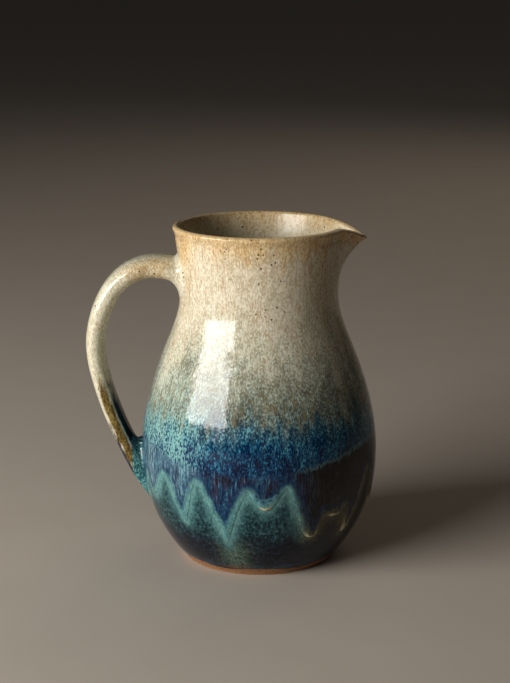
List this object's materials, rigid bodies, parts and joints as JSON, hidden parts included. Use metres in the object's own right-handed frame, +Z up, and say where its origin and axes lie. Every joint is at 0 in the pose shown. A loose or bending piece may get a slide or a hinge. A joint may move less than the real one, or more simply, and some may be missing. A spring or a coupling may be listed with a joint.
{
  "type": "pitcher",
  "caption": "Hand-thrown stoneware pitcher with a round belly, flared rim, pulled pouring spout, strap handle and layered runny glaze.",
  "frame": {"origin": "centre of the foot, on the surface that the pitcher stands on", "axes": "+Z up, +X towards the spout, so the handle is on -X"},
  "size_m": [0.1777, 0.1452, 0.205],
  "materials": {
    "stoneware": "bare, finely gritty",
    "liner_glaze": "glossy",
    "dark_glaze": "glossy, dark blue-green over brown",
    "pale_glaze": "glossy, cream breaking to blue, with iron speckles",
    "run_glaze": "glossy, thick blue and pale green runs",
    "handle_glaze": "glossy, cream breaking to amber"
  },
  "bodies": {
    "root": {"thrown_body": "stoneware", "handle": "stoneware", "upper_joint": "stoneware", "lower_joint": "stoneware", "liner_glaze": "liner_glaze", "base_glaze": "dark_glaze", "top_glaze": "pale_glaze", "glaze_runs": "run_glaze", "handle_glaze": "handle_glaze"}
  },
  "joints": []
}
